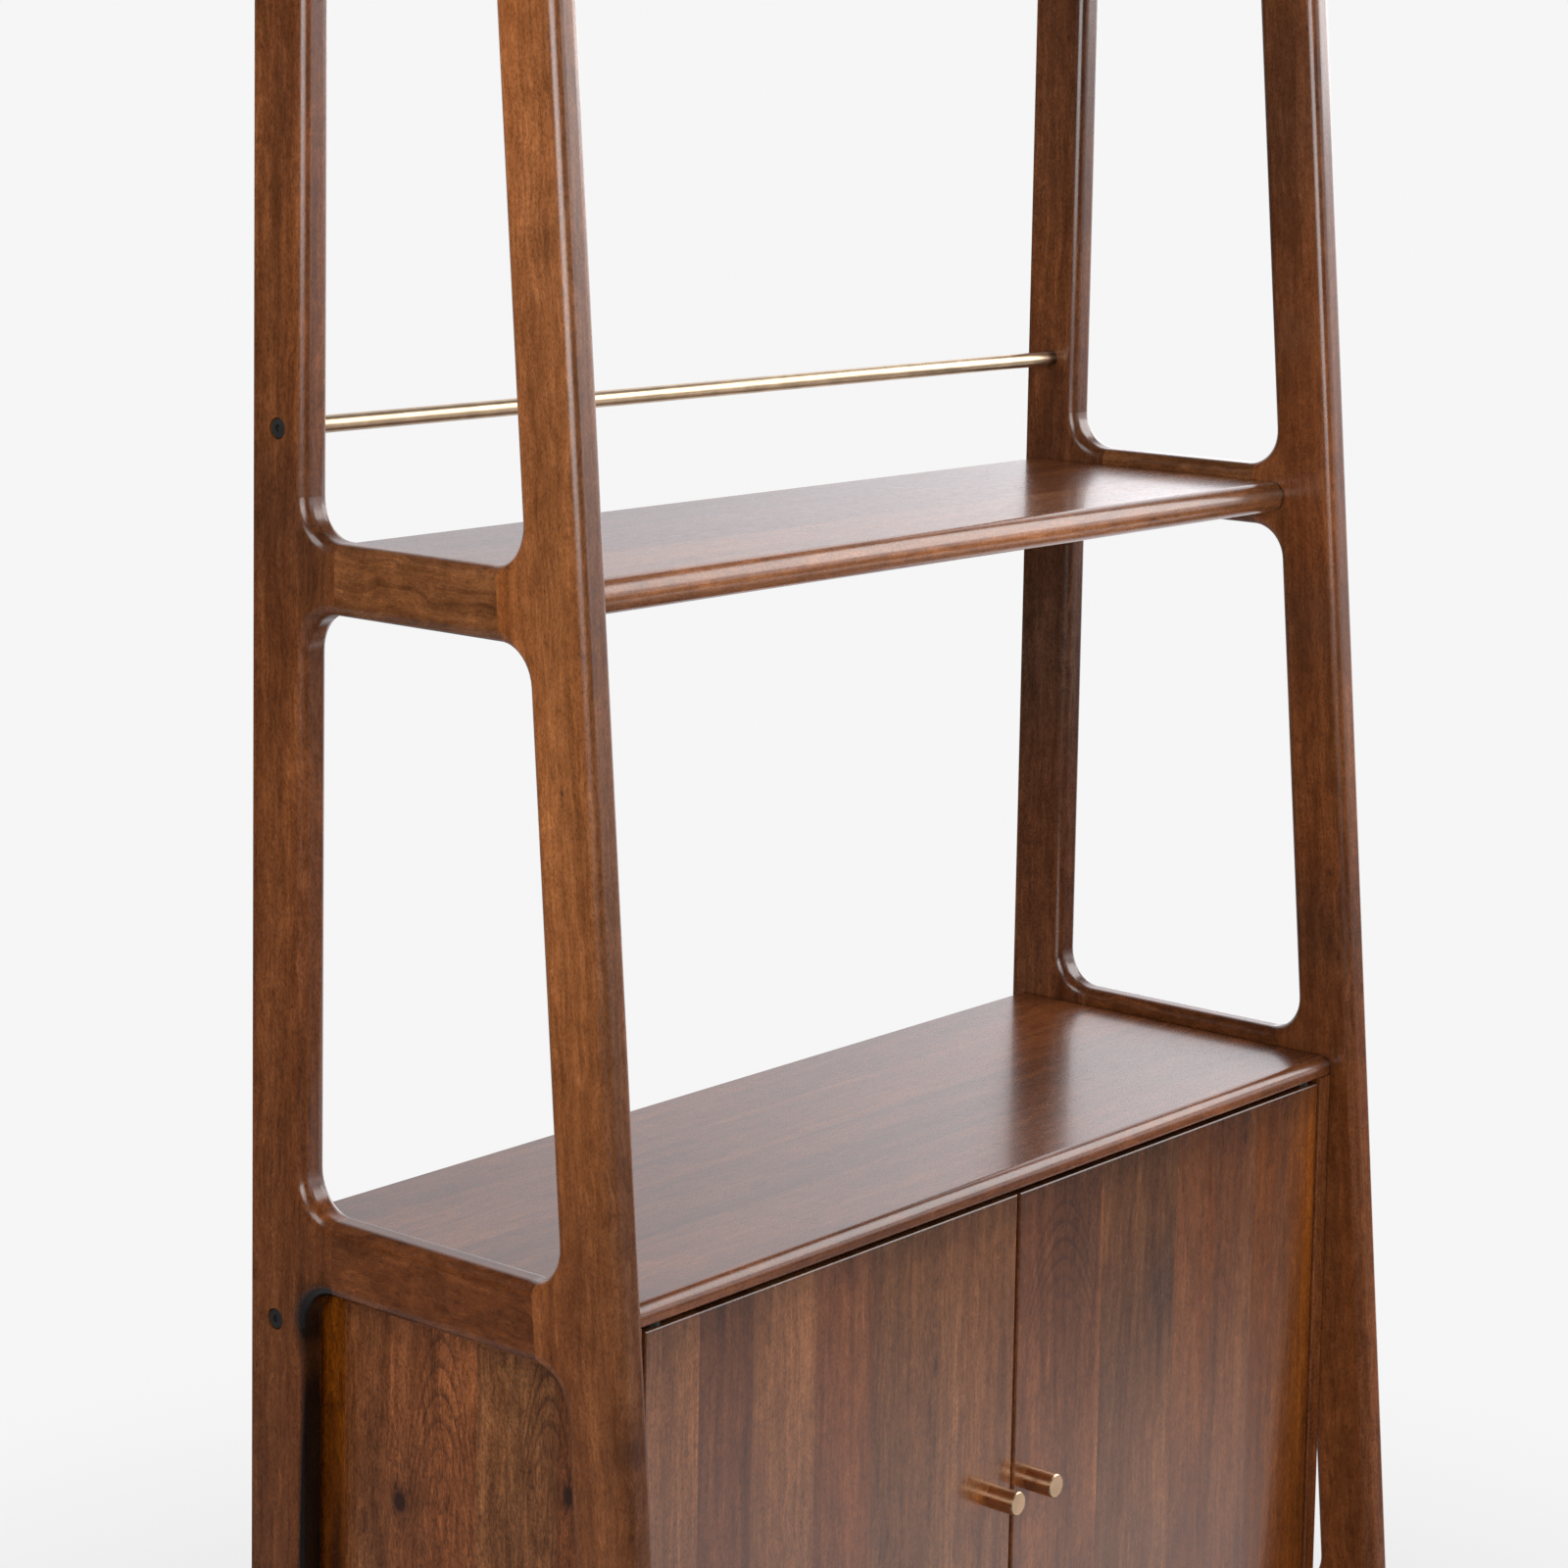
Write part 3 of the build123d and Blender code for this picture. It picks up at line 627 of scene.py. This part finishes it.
# Limits of some of the right door's staves
FIRST_STAVE = (0.0013, 0.1039)
SECOND_STAVE = (0.1039, 0.2022)
FIRST_THREE = (0.0013, 0.3117)
RIGHT_DOOR_MARKS = [
    Mark(0.2983, 0.5603, 0.004, 0.006, 0.75, 0.005),
    tint(0.188, 0.455, 0.024, 0.050, 0.9, SMOKE, SECOND_STAVE),
    tint(0.110, 0.535, 0.024, 0.040, 0.6, shade(TAN, 1.1), SECOND_STAVE),
    tint(0.090, 0.530, 0.025, 0.060, 0.5, SMOKE, FIRST_STAVE),
    tint(0.145, 0.395, 0.050, 0.045, 0.55, SMOKE, SECOND_STAVE),
    tint(0.150, 0.33, 0.3, 0.11, 0.6, shade(TAN, 1.15), FIRST_THREE),
    tint(0.252, 0.50, 0.006, 0.06, 0.45, ORANGE),
    tint(0.243, 0.40, 0.005, 0.08, 0.3, ORANGE),
    tint(0.352, 0.50, 0.010, 0.13, 0.45, TAN),
    tint(0.394, 0.46, 0.007, 0.12, 0.5, ORANGE),
    knob_glow("right"),
    *painted_top_shadow("right"),
]
RIGHT_DOOR_ARCHES = [Arch(0.055, 0.575, 0.05, 32.0, 0.014, 0.12, 0.5)]
# Two knots with a dark halo each, a fainter one, a strip of painted shade at the back beside the post, and a
# pale and a dark patch
LEFT_SIDE_MARKS = [
    Mark(0.0783, 0.4205, 0.0055, 0.0065, 2.0, 0.010),
    Mark(-0.077, 0.4654, 0.0042, 0.006, 2.0, 0.010),
    tint(0.0783, 0.4205, 0.018, 0.022, 0.6, PLUM),
    tint(-0.077, 0.4654, 0.015, 0.020, 0.6, PLUM),
    Mark(0.0564, 0.3921, 0.006, 0.006, 0.4, 0.005),
    # Painted shade on the panel's back edge beside the post
    Mark(0.140, 0.33, 0.009, 0.09, 1.0),
    tint(0.107, 0.36, 0.03, 0.06, 0.5, shade(TAN, 1.2), (0.0854, 0.1282)),
    tint(-0.0455, 0.39, 0.03, 0.03, 0.5, PLUM, (-0.0693, -0.0218)),
]
SIDE_ARCHES = [
    Arch(0.040, 0.56, 0.036, 90.0, 0.019, 0.16, 0.5),
    Arch(-0.060, 0.575, 0.03, 110.0, 0.017, 0.12, 0.55),
]
dress("left_door", wood("left_door_wood", Z, X, 201.7, LEFT_DOOR, streak=0.45, fine=1.2,
                        marks=LEFT_DOOR_MARKS))
dress("right_door", wood("right_door_wood", Z, X, 233.1, RIGHT_DOOR, figure=0.3, fine=1.15,
                         marks=RIGHT_DOOR_MARKS, arches=RIGHT_DOOR_ARCHES))
dress("cabinet_left_side", wood("left_side_wood", Z, Y, 257.9, SIDE, streak=0.5, curl=0.5, figure=0.4,
                                pores=1.3, fine=1.5, marks=LEFT_SIDE_MARKS, arches=SIDE_ARCHES))
dress("cabinet_right_side", wood("right_side_wood", Z, Y, 283.3, SIDE, figure=0.35, pores=1.0, fine=1.5,
                                 arches=SIDE_ARCHES))
veneer = staves_over(-0.4137, 0.4137, 0.2, 3.3, (OLIVE, UMBER))
dress("cabinet_back", wood("back_veneer", Z, X, 307.1, veneer, figure=0.6, pores=0.8))
beech = wood("dowel_wood", X, Y, 331.9, BEECH, streak=0.3, pores=0.3)
for name in ("board_dowels", "cabinet_dowels"):
    dress(name, beech)

# Metals and plastics
GOLD = (0.78, 0.60, 0.40)
ROSE = (0.82, 0.55, 0.34)
STEEL = (0.62, 0.61, 0.60)
PIVOT_BLACK = (0.035, 0.033, 0.032)
BOLT_BLACK = (0.055, 0.053, 0.050)
NYLON = (0.030, 0.027, 0.025)
CATCH_BROWN = (0.10, 0.055, 0.032)
NO_DIRECTION = (0, 0, 0)
for i, name in enumerate(("middle_rail", "upper_rail")):
    dress(name, metal(f"{name}_brass", GOLD, 0.34, X, 3.1 + i, ends=RAIL_END))
for i, side in enumerate(("left", "right")):
    dress(f"{side}_knob", metal(f"{side}_knob_brass", ROSE, 0.28, Y, 6.1 + i))
    dress(f"{side}_door_bushes", metal(f"{side}_bush_brass", GOLD, 0.35, Z, 8.1 + i))
    steel = metal(f"{side}_steel", STEEL, 0.35, Z, 12.1 + i)
    for piece in ("knob_screw", "strike_plate"):
        dress(f"{side}_{piece}", steel)
    dress(f"{side}_door_pivots", metal(f"{side}_pivot_black", PIVOT_BLACK, 0.4, Z, 14.1 + i, metallic=0.5))
dress("inner_shelf_pins", metal("pin_steel", STEEL, 0.35, X, 15.3))
black = metal("bolt_black", BOLT_BLACK, 0.48, NO_DIRECTION, 17.7, metallic=0.6)
for name in ("rail_bolts", "cabinet_bolts"):
    dress(name, black)
nylon = plastic("nylon_black", NYLON, 0.5, 19.9)
for name in ("cabinet_spacers", "foot_glides"):
    dress(name, nylon)
dress("door_catch", plastic("catch_brown", CATCH_BROWN, 0.5, 23.3))


def make_world(forward):
    """Even backdrop for the camera, and the studio for light and reflections."""
    world = bpy.data.worlds.new("studio")
    scene.world = world
    world.use_nodes = True
    world.node_tree.nodes.clear()
    t = Tree(world.node_tree)
    camera = t.node("ShaderNodeLightPath").outputs["Is Camera Ray"]
    way = t.node("ShaderNodeTexCoord").outputs["Generated"]
    ahead = t.dot(way, forward)
    rightward = t.dot(way, forward.cross(Vector(Z)).normalized())
    height = t.node("ShaderNodeSeparateXYZ", {"Vector": way}).outputs["Z"]

    # Dark room, paler low down, with the banded wall on its right
    bottom, top = WALL_HEIGHTS
    stops = [((z - bottom) / (top - bottom), (v, v, v)) for z, v in RIGHT_WALL]
    wall = t.ramp(t.remap(height, bottom, top, smooth=False), stops)
    right = t.math("MULTIPLY", t.remap(rightward, -0.2, 0.7), t.remap(ahead, -0.7, -0.2))
    dark = t.remap(height, -0.42, -0.32, LOW_LEVEL, DARK_LEVEL)
    level = t.math("MULTIPLY_ADD", right, t.math("SUBTRACT", wall, dark), dark)

    # Back wall, brighter to the right, with its glare, and dimmer below the horizon
    pale = t.remap(rightward, -0.1, 0.25, *BACK_LEVELS)
    glare = t.math("MULTIPLY", t.remap(rightward, 0.05, 0.13), t.remap(height, 0.2, 0.12))
    pale = t.math("MULTIPLY_ADD", glare, BACK_GLARE, pale)
    pale = t.math("MULTIPLY", pale, t.remap(height, -0.06, 0.04, BACK_LOW_SHARE, 1.0))
    behind = t.remap(ahead, 0.55, 0.85)
    level = t.math("MULTIPLY_ADD", behind, t.math("SUBTRACT", pale, level), level)

    level = t.math("MULTIPLY_ADD", camera, t.math("SUBTRACT", BACKDROP, level), level)
    cast = t.mix(camera, REFLECTED_TINT, WHITE)
    back = t.node("ShaderNodeBackground", {"Color": cast, "Strength": level})
    t.node("ShaderNodeOutputWorld", {"Surface": back.outputs[0]})


def make_floor():
    """Round pale floor that takes the shadow and fades into the backdrop."""
    mesh = bpy.data.meshes.new("floor")
    turns = [2 * math.pi * i / FLOOR_SIDES for i in range(FLOOR_SIDES)]
    ring = [(FLOOR_REACH * math.cos(a), FLOOR_REACH * math.sin(a), 0) for a in turns]
    mesh.from_pydata(ring, [], [list(range(FLOOR_SIDES))])
    floor = bpy.data.objects.new("floor", mesh)
    scene.collection.objects.link(floor)
    material = bpy.data.materials.new("pale_floor")
    material.use_nodes = True
    material.node_tree.nodes.clear()
    t = Tree(material.node_tree)
    path = t.node("ShaderNodeLightPath").outputs
    where = t.node("ShaderNodeTexCoord").outputs["Object"]
    far = t.vector("LENGTH", where, out="Value")
    grain = t.noise(where, 1.0, scale=90.0)
    paint = t.node("ShaderNodeBsdfDiffuse", {"Color": t.mix(grain, *FLOOR_TONES)})
    glow = t.node("ShaderNodeEmission", {"Color": WHITE, "Strength": BACKDROP})
    mirrored = t.math("MAXIMUM", path["Is Glossy Ray"], path["Is Transmission Ray"])
    seen = t.math("MAXIMUM", path["Is Camera Ray"], mirrored)
    share = t.math("MULTIPLY", seen, t.remap(far, 0.5, 1.4, 0.75, 1.0))
    mixed = t.node("ShaderNodeMixShader", {0: share, 1: paint.outputs[0], 2: glow.outputs[0]})
    t.node("ShaderNodeOutputMaterial", {"Surface": mixed.outputs[0]})
    floor.data.materials.append(material)
    floor.visible_glossy = False


def softbox(name, place, target, width, height, power, spread=math.pi):
    """One soft area light, aimed at a point."""
    data = bpy.data.lights.new(name, "AREA")
    data.shape = "RECTANGLE"
    data.size = width
    data.size_y = height
    data.energy = power
    data.spread = spread
    light = bpy.data.objects.new(name, data)
    aim = (Vector(target) - Vector(place)).to_track_quat("-Z", "Y")
    light.matrix_world = Matrix.Translation(place) @ aim.to_matrix().to_4x4()
    scene.collection.objects.link(light)


scene.view_settings.view_transform = "Standard"
make_world(make_camera())
make_floor()
softbox("left_box", (-2.6, 0.80, 2.9), (0, 0, 1.2), width=1.3, height=1.9, power=34)
softbox("camera_box", (-3.4, -2.25, 2.0), (0, 0, 1.5), width=3.0, height=2.0, power=20,
        spread=math.radians(70))
softbox("front_box", (0.6, -2.6, 1.7), (0, 0, 0.9), width=0.8, height=1.6, power=4)
softbox("right_box", (2.6, -1.3, 2.4), (0, 0, 0.9), width=2.4, height=1.9, power=64)
